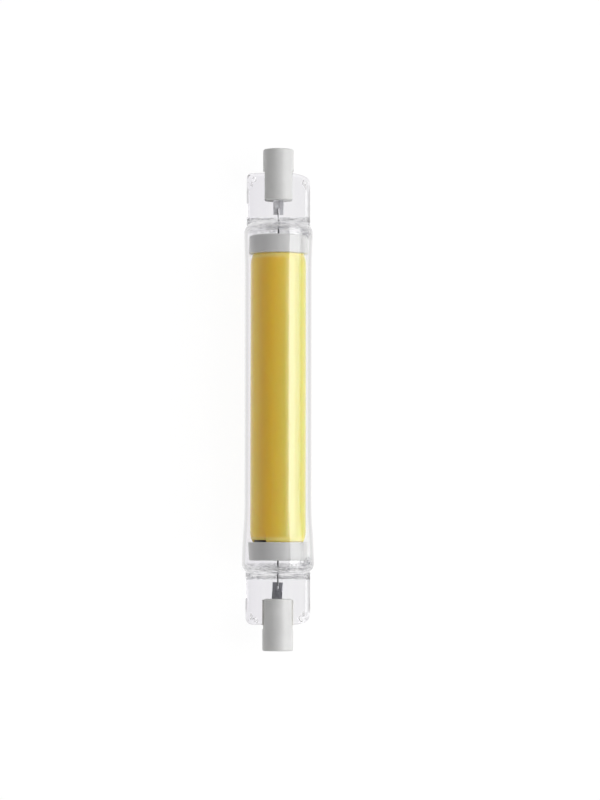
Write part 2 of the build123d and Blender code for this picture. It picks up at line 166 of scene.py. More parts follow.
class Link:
    """A socket that takes part in Python expressions, which add Math nodes to its tree."""

    def __init__(self, tree, socket):
        self.tree = tree
        self.socket = socket

    def maths(self, operation, *values):
        return self.tree.node("ShaderNodeMath", dict(enumerate(values)), operation=operation)

    def __add__(self, other):
        return self.maths("ADD", self, other)

    __radd__ = __add__

    def __sub__(self, other):
        return self.maths("SUBTRACT", self, other)

    def __rsub__(self, other):
        return self.maths("SUBTRACT", other, self)

    def __mul__(self, other):
        return self.maths("MULTIPLY", self, other)

    __rmul__ = __mul__

    def __truediv__(self, other):
        return self.maths("DIVIDE", self, other)

    def __abs__(self):
        return self.maths("ABSOLUTE", self)

    def at_most(self, other):
        return self.maths("MINIMUM", self, other)

    def at_least(self, other):
        return self.maths("MAXIMUM", self, other)

    def sine(self):
        return self.maths("SINE", self)

    def cosine(self):
        return self.maths("COSINE", self)

    def root(self):
        return self.maths("SQRT", self)

    def ramp(self, low, high):
        """0 below low, 1 above high, and a soft step between them; high may be the lower of the two."""
        inputs = {"Value": self, "From Min": low, "From Max": high, "To Min": 0.0, "To Max": 1.0}
        if low > high:
            inputs.update({"From Min": high, "From Max": low, "To Min": 1.0, "To Max": 0.0})
        return self.tree.node("ShaderNodeMapRange", inputs, interpolation_type="SMOOTHSTEP")

    def step(self, low, high):
        """A ramp with its ends in millimetres."""
        return self.ramp(low * MM, high * MM)


class Tree:
    """A node tree with one method that adds any node, and shorter ones for common uses of it."""

    def __init__(self, tree):
        self.tree = tree

    def node(self, kind, inputs=None, output=0, **settings):
        made = self.tree.nodes.new(kind)
        for name, value in settings.items():
            setattr(made, name, value)
        for key, value in (inputs or {}).items():
            if isinstance(value, Link):
                self.tree.links.new(value.socket, made.inputs[key])
            else:
                made.inputs[key].default_value = value
        return Link(self, made.outputs[output]) if made.outputs else made

    def outputs(self, kind, names, inputs=None):
        """Several outputs of one new node."""
        sockets = self.node(kind, inputs).socket.node.outputs
        return [Link(self, sockets[name]) for name in names]

    def apart(self, vector, axes):
        """The parts of a vector along the axes named, such as XY."""
        return self.outputs("ShaderNodeSeparateXYZ", axes, {"Vector": vector})

    def blend(self, share, first, second, how="MIX"):
        """Two colours mixed by a share."""
        first, second = [value if isinstance(value, Link) else (*value, 1.0) for value in (first, second)]
        inputs = {0: share, 6: first, 7: second}
        return self.node("ShaderNodeMix", inputs, output=2, data_type="RGBA", blend_type=how)

    def crossed(self, share, first, second):
        """Two shaders mixed by a share."""
        return self.node("ShaderNodeMixShader", {0: share, 1: first, 2: second})


class Finish(Tree):
    """A material made for one of the lamp's finishes."""

    def __init__(self, name):
        self.material = bpy.data.materials.new(name)
        self.material.use_nodes = True
        self.material.node_tree.nodes.clear()
        super().__init__(self.material.node_tree)
        self.place = self.node("ShaderNodeTexCoord", output="Object")

    def noise(self, scale, detail=3.0, roughness=0.5, stretch=(1.0, 1.0, 1.0), seed=0.0):
        """Noise with scale features a metre, closer together along an axis with more stretch."""
        inputs = {"Vector": self.place, "Location": (seed, seed * 0.7, seed * 0.3), "Scale": stretch}
        moved = self.node("ShaderNodeMapping", inputs)
        inputs = {"Vector": moved, "Scale": scale, "Detail": detail, "Roughness": roughness}
        return self.node("ShaderNodeTexNoise", inputs)

    def bump(self, height, strength, distance):
        inputs = {"Height": height, "Strength": strength, "Distance": distance}
        return self.node("ShaderNodeBump", inputs)

    def surface(self, **sockets):
        """The main shader, with its sockets named as keywords, such as base_color."""
        inputs = {}
        for name, value in sockets.items():
            label = " ".join(word.upper() if word == "ior" else word.capitalize() for word in name.split("_"))
            if isinstance(value, tuple) and len(value) == 3 and label != "Subsurface Radius":
                value = (*value, 1.0)
            inputs[label] = value
        return self.node("ShaderNodeBsdfPrincipled", inputs)

    def show(self, shader, volume=None):
        inputs = {"Surface": shader, "Volume": volume} if volume else {"Surface": shader}
        self.node("ShaderNodeOutputMaterial", inputs)
        return self.material


# Finishes

# Stretches of the glass over which something about it sets in or fades out, counted along it from its
# centre, and for the rim across it from its axis
SOFTENED = (36.0, 41.0)
RIPPLED_FROM = (SHOULDER_START + 0.4, SHOULDER_START + 1.4)
RIPPLED_TO = (SHOULDER_END + 1.3, SHOULDER_END + 0.4)
FOLDED_FROM = (SHOULDER_START - 0.4, SHOULDER_START + 1.6)
FOLDED_TO = (SHOULDER_END + 1.4, SHOULDER_END + 0.6)
PRESSED_FROM = (SHOULDER_END + 0.3, SHOULDER_END + 1.2)
TAB_RIM = (5.4, 7.2)

# The short stretch in the lamp's middle where a finish changes from its left end's to its right end's
LEFT_TO_RIGHT = (-1.0, 1.0)


def clear_glass():
    """Clear fused glass with a faint violet cast and ripples near its ends, and painted shade: darker towards
    +Y, along the tab's rims and in dark lines along the creases of its shoulders.

    Rays from the eye meet it as glass, and so do those that it has bent. Shadow rays, and rays thrown back by
    any surface, pass it as if it were open air with a slight tint.
    """
    finish = Finish("clear_glass")
    x, y = finish.apart(finish.place, "XY")
    along = abs(x - GLASS_CENTRE * MM)
    softened = along.step(*SOFTENED)
    rippled = along.step(*RIPPLED_FROM) * along.step(*RIPPLED_TO)
    pressed = along.step(*PRESSED_FROM)
    rim = abs(y).step(*TAB_RIM) * pressed

    ripple = finish.noise(260.0, 2.0, 0.5, (0.6, 1.0, 1.0))
    streaks = finish.noise(380.0, 5.0, 0.6, (3.6, 0.8, 1.0), 0.4)
    bump = finish.bump(ripple * softened * 0.3 + streaks * rippled, 0.8, 0.6 * MM)

    drawn = finish.noise(420.0, 2.0, 0.5, (0.12, 2.2, 1.0), 0.9).ramp(0.35, 0.7)
    # Painted shade: the glass darkens towards +Y, away from the key light, less in the shoulders; drawn adds
    # the glass's own streaks
    shade = y.step(-7.0, 8.0) * (0.75 - rippled * 0.7) + drawn * softened * 0.6
    cast = finish.blend(shade, (0.99, 0.99, 0.99), (0.93, 0.922, 0.945))
    cast = finish.blend(pressed, cast, (0.953, 0.948, 0.958), "MULTIPLY")
    # Painted shade darkens the tab along its rims, where the beads act as lenses
    cast = finish.blend(rim * 0.6, cast, (0.88, 0.88, 0.885), "MULTIPLY")

    # Painted shade: dark lines along the creases in the shoulders. Towards -Y they reach a little further
    # down the tube
    further = y.step(-4.0, -7.0) * (1.8 * MM)
    folded = (along + further).step(*FOLDED_FROM) * along.step(*FOLDED_TO)
    creases = finish.noise(560.0, 4.0, 0.55, (2.4, 0.7, 1.0), 0.8)
    wrinkles = finish.noise(980.0, 4.0, 0.6, (1.8, 0.8, 1.0), 1.7)
    fold_shade = abs(creases - 0.5).ramp(0.036, 0.008).at_least(abs(wrinkles - 0.5).ramp(0.04, 0.0) * 0.6)
    cast = finish.blend(fold_shade * folded, cast, (0.22, 0.22, 0.25))

    glass = finish.surface(base_color=cast, roughness=0.0, ior=1.47, transmission_weight=1.0, normal=bump)
    thrown, shadow = finish.outputs("ShaderNodeLightPath", ("Is Reflection Ray", "Is Shadow Ray"))
    clear = finish.node("ShaderNodeBsdfTransparent", {"Color": (0.98, 0.98, 0.98, 1.0)})
    tint = finish.node("ShaderNodeVolumeAbsorption", {"Color": (0.58, 0.55, 0.62, 1.0), "Density": 15.0})
    return finish.show(finish.crossed(shadow, finish.crossed(thrown, glass, clear), clear), tint)


def phosphor_resin():
    """Yellow cast silicone with a soft gloss and a slightly wavy skin, in painted light and shade: lemon
    towards -Y where the key light falls, deeper orange towards +Y, and a faint painted glow.
    """
    finish = Finish("phosphor_resin")
    x, y = finish.apart(finish.place, "XY")
    drift = finish.noise(60.0, 3.0, 0.5, (0.35, 1.0, 1.0), 0.3)
    grain = finish.noise(2600.0, 2.0, 0.6)
    lines = finish.noise(420.0, 3.0, 0.6, (0.04, 2.5, 2.5), 0.2)
    waves = finish.noise(170.0, 2.0, 0.5, (0.25, 1.0, 1.0), 0.8)
    painted_shade_side = (y + (drift - 0.5) * (4.0 * MM)).step(-4.5, 1.9)
    thin = abs(x - GLASS_CENTRE * MM).step(UNIT_HALF - 1.6, UNIT_HALF - 0.3)

    # Painted light and shade: paler lemon towards -Y, where the key light falls, and deeper orange towards
    # +Y, in shade, strongest at the far sides
    colour = finish.blend(painted_shade_side, (0.71, 0.69, 0.15), (0.92, 0.69, 0.08))
    colour = finish.blend(y.step(-4.3, -5.5), colour, (0.84, 0.80, 0.16))
    colour = finish.blend(y.step(3.3, 5.5), colour, (1.0, 0.84, 0.03))
    colour = finish.blend(lines.ramp(0.5, 0.75) * 0.3, colour, (0.84, 0.72, 0.16))
    colour = finish.blend(thin * 0.7, colour, (0.9, 0.85, 0.32))
    colour = finish.blend(grain.ramp(0.35, 0.75) * 0.2, colour, (0.9, 0.79, 0.18))
    # Painted glow: a faint emission, redder on the shaded side towards +Y and paler at the thin ends, that
    # warms the shade
    glow = finish.blend(painted_shade_side, (0.25, 0.12, 0.0), (1.0, 0.15, 0.0))
    glow = finish.blend(thin, glow, (0.85, 0.42, 0.05))
    bump = finish.bump(waves + grain * 0.03, 0.25, 0.4 * MM)
    return finish.show(finish.surface(
        base_color=colour, roughness=drift.ramp(0.2, 0.8) * 0.06 + 0.18, ior=1.56,
        subsurface_weight=0.3, subsurface_radius=(1.0, 0.45, 0.1), subsurface_scale=0.8 * MM,
        emission_color=glow, emission_strength=0.12, normal=bump))


def moulded_white():
    """White moulded plastic of the end plugs, satin, with fine tool marks, and painted shade on a band
    towards -Y where the key light's highlight falls, more on the left plug.
    """
    finish = Finish("plug_plastic")
    x, y = finish.apart(finish.place, "XY")
    drift = finish.noise(140.0, 3.0, 0.5, seed=0.2)
    grain = finish.noise(3200.0, 2.0, 0.55, seed=0.6)
    colour = finish.blend(drift.ramp(0.3, 0.7), (0.745, 0.745, 0.74), (0.785, 0.785, 0.78))
    # Painted shade: the band towards -Y, where the key light's highlight falls, is darkened, more on the left
    # plug than on the right
    band = y.step(-2.2, -3.0) * y.step(-6.0, -5.0)
    painted_glare_shade = band * (0.9 - x.step(*LEFT_TO_RIGHT) * 0.4)
    colour = finish.blend(painted_glare_shade, colour, (0.66, 0.66, 0.66), "MULTIPLY")
    bump = finish.bump(grain + drift * 2.0, 0.12, 0.1 * MM)
    return finish.show(finish.surface(base_color=colour, roughness=grain * 0.12 + 0.38, ior=1.5, normal=bump))


def fired_ceramic():
    """Unglazed white ceramic with a fine grain, a few dark specks and soft grey handling marks."""
    finish = Finish("cap_ceramic")
    drift = finish.noise(210.0, 4.0, 0.55, seed=0.4)
    grain = finish.noise(5200.0, 3.0, 0.6)
    specks = finish.node("ShaderNodeTexVoronoi", {"Vector": finish.place, "Scale": 900.0})
    colour = finish.blend(drift.ramp(0.3, 0.75), (0.73, 0.73, 0.725), (0.79, 0.79, 0.785))
    colour = finish.blend(specks.ramp(0.09, 0.03) * 0.35, colour, (0.45, 0.43, 0.4))
    bump = finish.bump(grain + drift * 0.6, 0.3, 0.06 * MM)
    return finish.show(finish.surface(base_color=colour, roughness=grain * 0.15 + 0.34, ior=1.5, normal=bump))


def setting_cement():
    """Grainy off-white cement."""
    finish = Finish("cement")
    lumps = finish.noise(900.0, 5.0, 0.7)
    colour = finish.blend(lumps.ramp(0.3, 0.7), (0.70, 0.69, 0.66), (0.82, 0.81, 0.79))
    bump = finish.bump(lumps, 0.6, 0.15 * MM)
    return finish.show(finish.surface(base_color=colour, roughness=lumps * 0.15 + 0.75, ior=1.5, normal=bump))


def plated_nickel():
    """Nickel plate of the contacts, with a dull oxide in patches."""
    finish = Finish("contact_metal")
    streaks = finish.noise(1500.0, 4.0, 0.6)
    oxide = finish.noise(700.0, 3.0, 0.6, seed=0.5)
    colour = finish.blend(streaks.ramp(0.25, 0.75), (0.6, 0.59, 0.57), (0.75, 0.74, 0.72))
    colour = finish.blend(oxide.ramp(0.55, 0.75) * 0.5, colour, (0.36, 0.354, 0.342))
    bump = finish.bump(streaks, 0.3, 0.03 * MM)
    roughness = oxide.ramp(0.3, 0.8) * 0.2 + 0.2
    return finish.show(finish.surface(base_color=colour, metallic=1.0, roughness=roughness, normal=bump))


def drawn_leads():
    """Drawn wire, near black inside the tube, and paler where the glass has sealed it, more so in the right
    tab, and where it is welded to the foil.
    """
    finish = Finish("lead_metal")
    x, = finish.apart(finish.place, "X")
    streaks = finish.noise(1500.0, 4.0, 0.6, (0.2, 2.0, 2.0)).ramp(0.25, 0.75)
    open_wire = finish.blend(streaks, (0.04, 0.04, 0.045), (0.12, 0.12, 0.13))
    sealed_wire = finish.blend(streaks, (0.5, 0.5, 0.51), (0.85, 0.85, 0.87))
    sealed = abs(x).step(SHOULDER_END - 0.2, SHOULDER_END + 0.8)
    welded = abs(x).step(FOIL_START + 0.1, FOIL_START + 0.4)
    pale = (sealed * (x.step(*LEFT_TO_RIGHT) * 0.7 + 0.3)).at_least(welded)
    colour = finish.blend(pale, open_wire, sealed_wire)
    bump = finish.bump(streaks, 0.3, 0.03 * MM)
    return finish.show(
        finish.surface(base_color=colour, metallic=0.7 - pale * 0.5, roughness=0.42, normal=bump))


def rolled_foil():
    """Rolled molybdenum, pale and less metallic in the right tab and darker and fully metallic in the left
    one, with dull patches of oxide.
    """
    finish = Finish("foil_metal")
    x, = finish.apart(finish.place, "X")
    on_right = x.step(*LEFT_TO_RIGHT)
    streaks = finish.noise(1500.0, 4.0, 0.6, (0.2, 1.6, 1.0))
    oxide = finish.noise(620.0, 3.0, 0.6, seed=0.5)
    bright = finish.blend(streaks.ramp(0.25, 0.75), (0.76, 0.76, 0.80), (0.96, 0.96, 0.98))
    dull = finish.blend(streaks.ramp(0.25, 0.75), (0.38, 0.38, 0.42), (0.55, 0.55, 0.59))
    colour = finish.blend(on_right, dull, bright)
    colour = finish.blend(oxide.ramp(0.5, 0.72) * 0.5, colour, (0.32, 0.32, 0.36))
    bump = finish.bump(streaks, 0.3, 0.03 * MM)
    return finish.show(finish.surface(
        base_color=colour, metallic=1.0 - on_right * 0.8, roughness=oxide.ramp(0.3, 0.8) * 0.15 + 0.42,
        normal=bump))


def plain_coat(name, light, dark, roughness, scale, depth):
    """A painted, moulded or woven finish with a fine grain of some depth in millimetres."""
    finish = Finish(name)
    grain = finish.noise(scale, 3.0, 0.55)
    colour = finish.blend(grain.ramp(0.3, 0.7), dark, light)
    bump = finish.bump(grain, 0.3, depth * MM)
    return finish.show(
        finish.surface(base_color=colour, roughness=grain * 0.15 + roughness, ior=1.5, normal=bump))


def board_coat():
    """White lacquer on the LED board, with its left end, seen in the resin's notch, painted black as shade.
    """
    finish = Finish("board_metal")
    x, = finish.apart(finish.place, "X")
    grain = finish.noise(1800.0, 3.0, 0.55)
    lacquer = finish.blend(grain.ramp(0.3, 0.7), (0.78, 0.78, 0.76), (0.84, 0.84, 0.82))
    # Painted shade: the board's left end, seen in the resin's notch, is black for the shade there
    painted_shade_end = x.step(board_low.x + 0.9, board_low.x + 0.8)
    colour = finish.blend(painted_shade_end, lacquer, (0.018, 0.015, 0.01))
    bump = finish.bump(grain, 0.2, 0.04 * MM)
    return finish.show(finish.surface(base_color=colour, roughness=grain * 0.1 + 0.4, ior=1.5, normal=bump))


# Meshes

# Points this close, in metres, are one, and edges count as flat or sharp by these angles
SAME_PLACE = 1e-7
FLAT_ANGLE = math.radians(0.4)
CREASE_ANGLE = math.radians(40.0)


def piece(name, shells, material):
    """A closed smooth mesh from shells of points in millimetres and faces; a hollow's shell faces into it."""
    shape = bmesh.new()
    for points, faces, hollow in shells:
        corners = [shape.verts.new(point) for point in (np.asarray(points) * MM).tolist()]
        skin = [shape.faces.new([corners[index] for index in face]) for face in faces]
        bmesh.ops.recalc_face_normals(shape, faces=skin)
        if hollow:
            bmesh.ops.reverse_faces(shape, faces=skin)
    bmesh.ops.remove_doubles(shape, verts=shape.verts, dist=SAME_PLACE)
    mesh = bpy.data.meshes.new(name)
    shape.to_mesh(mesh)
    shape.free()
    mesh.materials.append(material)
    mesh.shade_smooth()
    made = bpy.data.objects.new(name, mesh)
    bpy.context.scene.collection.objects.link(made)
    return made


def ring_faces(rings, around):
    """Quads between closed rings of points that follow each other."""
    faces = []
    for ring in range(rings - 1):
        low = ring * around
        high = low + around
        for index in range(around):
            after = (index + 1) % around
            faces.append((low + index, low + after, high + after, high + index))
    return faces


def soft_step(low, high, value):
    """0 below low, 1 above high, and a soft step between them."""
    share = np.clip((value - low) / (high - low), 0.0, 1.0)
    return share * share * (3.0 - 2.0 * share)


def arc_drop(distance, radius):
    """How far a round corner of this radius has cut in, this far from its start."""
    inside = np.clip(distance, 0.0, radius)
    return radius - np.sqrt(np.maximum(radius * radius - inside * inside, 0.0))


class PinchedEnd:
    """One end of the glass, modelled along s, the distance from the glass's centre."""

    def __init__(self, side, swell, flare, taper, corners, slants, lumps):
        """Swell is what the tube gains in width over its flare, and taper is what the tab loses.

        Corners and slants are given for the tab's edge towards +Y and then for the one towards -Y.
        """
        self.side = side
        self.swell = swell
        self.flare = flare
        self.tab = TUBE_RADIUS - taper / 2
        self.corners = corners
        self.slants = slants
        self.lumps = lumps

    def half_width(self, s):
        """The tube's half width across the tab, which swells towards the shoulder."""
        share = np.clip((s - SHOULDER_START + self.flare) / self.flare, 0.0, 1.0)
        return TUBE_RADIUS + self.swell / 2 * (1.0 - np.cos(np.pi * share)) / 2

    def outline(self, s, inset, positive):
        """The silhouette's half width on one side, with the tab's round corner."""
        width = np.maximum(self.half_width(s) - inset, self.tab)
        radius = self.corners[0 if positive else 1]
        return width - arc_drop(s - (TAB_END - radius), radius)

    def tab_height(self, s, across):
        """The half height of the tab: a plate between two beads, with a fillet up to the shoulder."""
        outwards = across - (self.tab - BEAD_RADIUS)
        bead = np.sqrt(np.maximum(BEAD_RADIUS**2 - outwards**2, 0.0))
        swell = soft_step(-BEAD_RUN, 0.0, outwards) * (BEAD_RADIUS - TAB_HALF_THICKNESS)
        flat = np.where(outwards > 0.0, bead, TAB_HALF_THICKNESS + swell)
        flat = flat + arc_drop(SHOULDER_END + ROOT_FILLET - s, ROOT_FILLET) * (outwards < FILLET_REACH)
        edge = np.clip((s - TAB_END + EDGE_ROUND) / EDGE_ROUND, 0.0, 1.0)
        return flat * np.sqrt(1.0 - edge * edge) * soft_step(*TAB_RISE, s)

    def height(self, s, inset, y, outline):
        """The half height of the glass at one place, where the shoulder has closed in by inset."""
        width = np.maximum(self.half_width(s) - inset, 1e-6)
        bulb = (TUBE_RADIUS - inset) * np.sqrt(np.maximum(1.0 - (y / width) ** 2, 0.0))
        flat = self.tab_height(s, np.abs(y) / outline * self.tab)
        for place, off, size_s, size_y, rise in self.lumps:
            flat = flat * (1.0 + rise * np.exp(-((s - place) / size_s) ** 2 - ((y - off) / size_y) ** 2))
        # The larger of the two, with a smooth change between them
        return (bulb**4 + flat**4) ** 0.25

    def outer_ring(self, s, inset, turn):
        """Points round the outer skin at one place."""
        across = np.cos(turn)
        outline = np.where(across > 0, self.outline(s, inset, True), self.outline(s, inset, False))
        y = across * outline
        z = self.height(s, inset, y, outline) * np.sign(np.sin(turn)) * (np.abs(np.sin(turn)) > 1e-9)
        slant = np.where(y > 0, *self.slants) * soft_step(*SLANT_ACROSS, np.abs(y))
        along = s - slant * soft_step(TAB_END - SLANT_RUN, TAB_END, s)
        return np.stack([GLASS_CENTRE + self.side * along, y, z], axis=1)

    def inner_ring(self, s, inset, turn):
        """Points round the skin of the hollow at one place."""
        y = np.cos(turn) * (self.half_width(s) - TUBE_WALL - inset)
        z = np.sin(turn) * (TUBE_RADIUS - TUBE_WALL - inset)
        return np.stack([np.full_like(y, GLASS_CENTRE + self.side * s), y, z], axis=1)


def closing(depth, corner, radius, bulge):
    """Places down a shoulder and how far it has closed in there: a round corner and a slightly bulged end."""
    turn = np.linspace(0.0, np.pi / 2, CORNER_RINGS)
    face = np.linspace(0.0, 1.0, FACE_RINGS + 1)[1:]
    rise = bulge * (1.0 - (1.0 - face) ** 2) ** 2
    places = np.concatenate([depth - bulge - corner + corner * np.sin(turn), depth - bulge + rise])
    insets = np.concatenate([corner * (1.0 - np.cos(turn)), corner + (radius - corner) * face])
    return SHOULDER_START + places, insets


def glass_envelope(material):
    """The blown tube with its pinched ends: an outer skin and the skin of the hollow."""
    right = PinchedEnd(
        side=1, swell=0.4, flare=9.0, taper=0.8, corners=(1.2, 2.1), slants=(0.1, 0.7), lumps=RIGHT_LUMPS)
    left = PinchedEnd(
        side=-1, swell=1.2, flare=14.0, taper=0.6, corners=(1.7, 2.5), slants=(0.0, 0.2), lumps=LEFT_LUMPS)
    outer_close = closing(SHOULDER_DEPTH, SHOULDER_CORNER, TUBE_RADIUS, END_BULGE)
    inner_close = closing(
        SHOULDER_DEPTH - ROOT_THICKNESS, SHOULDER_CORNER - TUBE_WALL, TUBE_RADIUS - TUBE_WALL, HOLLOW_BULGE)
    root = np.linspace(SHOULDER_END, SHOULDER_END + ROOT_FILLET, ROOT_RINGS + 1)[1:]
    plate = np.linspace(SHOULDER_END + ROOT_FILLET, TAB_END - EDGE_ROUND - RING_GAP, PLATE_RINGS + 1)[1:]
    edge = TAB_END - EDGE_ROUND + EDGE_ROUND * np.sin(np.linspace(0.0, np.pi / 2, EDGE_RINGS))
    tab = np.concatenate([root, plate, edge])
    outer_close = [np.append(outer_close[0], tab), np.append(outer_close[1], np.full_like(tab, TUBE_RADIUS))]
    shells = []
    for hollow, count, close in ((False, OUTER_POINTS, outer_close), (True, HOLLOW_POINTS, inner_close)):
        turn = np.linspace(0.0, 2 * np.pi, count, endpoint=False)
        rings = []
        for end in (left, right):
            ring = end.inner_ring if hollow else end.outer_ring
            flare = np.linspace(SHOULDER_START - end.flare, SHOULDER_START, FLARE_RINGS + 1)[:-1]
            made = [ring(s, 0.0, turn) for s in flare] + [ring(s, inset, turn) for s, inset in zip(*close)]
            rings = made[::-1] if end is left else rings + made
        shells.append((np.concatenate(rings), ring_faces(len(rings), count), hollow))
    return piece("glass_tube", shells, material)


def turned(name, profile, material, around=160):
    """A body turned round the X axis from a profile of (x, radius) points."""
    turn = np.linspace(0.0, 2 * np.pi, around, endpoint=False)
    points = []
    for x, radius in profile:
        ring = [np.full_like(turn, x), radius * np.cos(turn), radius * np.sin(turn)]
        points.append(np.stack(ring, axis=1))
    return piece(name, [(np.concatenate(points), ring_faces(len(profile), around), False)], material)


def finer(node, name, material, bevel):
    """A cleaned copy of a CAD node with its sharp edges broken by a bevel in millimetres."""
    made = nodes[node].copy()
    made.data = nodes[node].data.copy()
    made.name = name
    made.data.name = name
    bpy.context.scene.collection.objects.link(made)
    shape = bmesh.new()
    shape.from_mesh(made.data)
    bmesh.ops.remove_doubles(shape, verts=shape.verts, dist=SAME_PLACE)
    bmesh.ops.dissolve_limit(shape, angle_limit=FLAT_ANGLE, verts=shape.verts, edges=shape.edges)
    sharp = [edge for edge in shape.edges if edge.is_manifold and edge.calc_face_angle() > CREASE_ANGLE]
    bmesh.ops.bevel(
        shape, geom=sharp, offset=bevel * MM, offset_type="OFFSET", segments=2, profile=0.5,
        affect="EDGES", clamp_overlap=True)
    shape.to_mesh(made.data)
    shape.free()
    made.data.materials.clear()
    made.data.materials.append(material)
    made.data.shade_smooth()
    made.data.set_sharp_from_angle(angle=CREASE_ANGLE)
    return made


def fit(made, replaced):
    """Fixes a piece to the lamp in place of the node that it stands for."""
    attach(made, "root")
    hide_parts(replaced)


def dress(node, material):
    """Gives a CAD node that stays its finish."""
    slots = nodes[node].material_slots
    if not slots:
        nodes[node].data.materials.append(material)
    for slot in slots:
        slot.material = material


# Resin sleeve, from a tree of geometry nodes


def sleeve_tree():
    """The cast resin: a closed skin over the rolled board, thin at its ends, with a seam and a notch."""
    group = bpy.data.node_groups.new("resin_sleeve", "GeometryNodeTree")
    face = group.interface
    for label, value in (
        ("Centre", GLASS_CENTRE * MM), ("Half Length", UNIT_HALF * MM), ("Board Radius", BOARD_RADIUS * MM),
        ("Thickness", RESIN_THICKNESS * MM), ("Taper", RESIN_TAPER * MM), ("Seam Angle", RESIN_SEAM),
        ("Notch Length", NOTCH_LENGTH * MM), ("Notch Start", NOTCH_START), ("Notch End", NOTCH_END),
    ):
        made = face.new_socket(label, in_out="INPUT", socket_type="NodeSocketFloat")
        made.default_value = value
    face.new_socket("Resin", in_out="INPUT", socket_type="NodeSocketMaterial")
    face.new_socket("Geometry", in_out="OUTPUT", socket_type="NodeSocketGeometry")
    tree = Tree(group)
    entry = group.nodes.new("NodeGroupInput")
    given = {socket.name: Link(tree, socket) for socket in entry.outputs if socket.name}
    divisions = {"Size X": 1.0, "Size Y": 1.0, "Vertices X": RESIN_COLUMNS, "Vertices Y": RESIN_ROWS}
    grid = tree.node("GeometryNodeMeshGrid", divisions)
    across, around = tree.apart(tree.node("GeometryNodeInputPosition"), "XY")
    share = (1.0 - ((across + 0.5) * math.pi).cosine()) * 0.5
    opening = given["Seam Angle"] * (math.pi / 180.0)
    angle = opening * 0.5 + (around + 0.5) * (2 * math.pi - opening) - math.pi / 2
    from_top = (math.pi / 2 - angle) * (180.0 / math.pi)
    past_start, past_end = [
        tree.node("ShaderNodeMapRange", {
            "Value": from_top, "From Min": given[place] - NOTCH_EDGE, "From Max": given[place] + NOTCH_EDGE})
        for place in ("Notch Start", "Notch End")]
    left = (past_start - past_end) * given["Notch Length"] - given["Half Length"]
    x = left + share * (given["Half Length"] - left)
    inwards = ((x - left).at_most(given["Half Length"] - x) / given["Taper"]).at_most(1.0)
    crown = (1.0 - (1.0 - inwards) * (1.0 - inwards)).at_least(0.0).root()
    lip = ((0.5 - abs(around)) / LIP_SHARE).at_most(1.0)
    edge = (1.0 - (1.0 - lip) * (1.0 - lip)).at_least(0.0).root()
    outer_radius = given["Board Radius"] + given["Thickness"] * crown * edge
    skins = []
    for radius in (outer_radius, given["Board Radius"]):
        parts = {"X": x + given["Centre"], "Y": radius * angle.cosine(), "Z": radius * angle.sine()}
        place = tree.node("ShaderNodeCombineXYZ", parts)
        skins.append(tree.node("GeometryNodeSetPosition", {"Geometry": grid, "Position": place}))
    inside = tree.node("GeometryNodeFlipFaces", {"Mesh": skins[1]})
    joined = tree.node("GeometryNodeJoinGeometry", {"Geometry": skins[0]})
    group.links.new(inside.socket, joined.socket.node.inputs[0])
    closed = tree.node("GeometryNodeMergeByDistance", {"Geometry": joined, "Distance": 1e-6})
    smooth = tree.node("GeometryNodeSetShadeSmooth", {"Geometry": closed})
    real = tree.node("GeometryNodeRealizeInstances", {"Geometry": smooth})
    painted = tree.node("GeometryNodeSetMaterial", {"Geometry": real, "Material": given["Resin"]})
    tree.node("NodeGroupOutput", {"Geometry": painted})
    return group


def grown(name, group, **values):
    """The plain mesh that a tree of geometry nodes makes with these inputs."""
    host = bpy.data.objects.new(name, bpy.data.meshes.new(name))
    bpy.context.scene.collection.objects.link(host)
    growth = host.modifiers.new(name, "NODES")
    growth.node_group = group
    for item in group.interface.items_tree:
        key = item.name.lower().replace(" ", "_")
        if item.in_out == "INPUT" and key in values:
            growth[item.identifier] = values[key]
    seen = host.evaluated_get(bpy.context.evaluated_depsgraph_get())
    host.data = bpy.data.meshes.new_from_object(seen)
    host.modifiers.remove(growth)
    host.data.name = name
    return host


# End plugs, foils and leads


def rounded(points, radius, steps=6):
    """A profile whose corners are rounded, apart from its two ends. No arc takes half of a short side."""
    made = [points[0]]
    for before, corner, after in zip(points, points[1:], points[2:]):
        corner = Vector(corner)
        back = Vector(before) - corner
        ahead = Vector(after) - corner
        cut = min(radius, back.length / 2.2, ahead.length / 2.2)
        start = corner + back.normalized() * cut
        stop = corner + ahead.normalized() * cut
        for step in range(steps + 1):
            share = step / steps
            made.append(tuple(start * (1 - share) ** 2 + corner * 2 * share * (1 - share) + stop * share**2))
    made.append(points[-1])
    return made


def end_plug(side, material):
    """A moulded cup with a slightly tapered, rounded head, and a spigot that carries the board."""
    floor = PLUG_OUTER - PLUG_FLOOR
    mouth = UNIT_HALF - SPIGOT_LENGTH
    spigot = BOARD_RADIUS - BOARD_THICKNESS - SPIGOT_GAP
    bore = spigot - SPIGOT_WALL
    profile = [
        (PLUG_OUTER, LEAD_HOLE), (PLUG_OUTER, PLUG_RADIUS - PLUG_DRAFT),
        (UNIT_HALF + PLUG_CHAMFER, PLUG_RADIUS), (UNIT_HALF, PLUG_RADIUS - PLUG_CHAMFER),
        (UNIT_HALF, spigot), (mouth, spigot), (mouth, bore), (floor, bore), (floor, LEAD_HOLE),
        (PLUG_OUTER, LEAD_HOLE)]
    profile = [(GLASS_CENTRE + side * x, radius) for x, radius in rounded(profile, PLUG_ROUND)]
    return turned("right_plug" if side > 0 else "left_plug", profile, material)


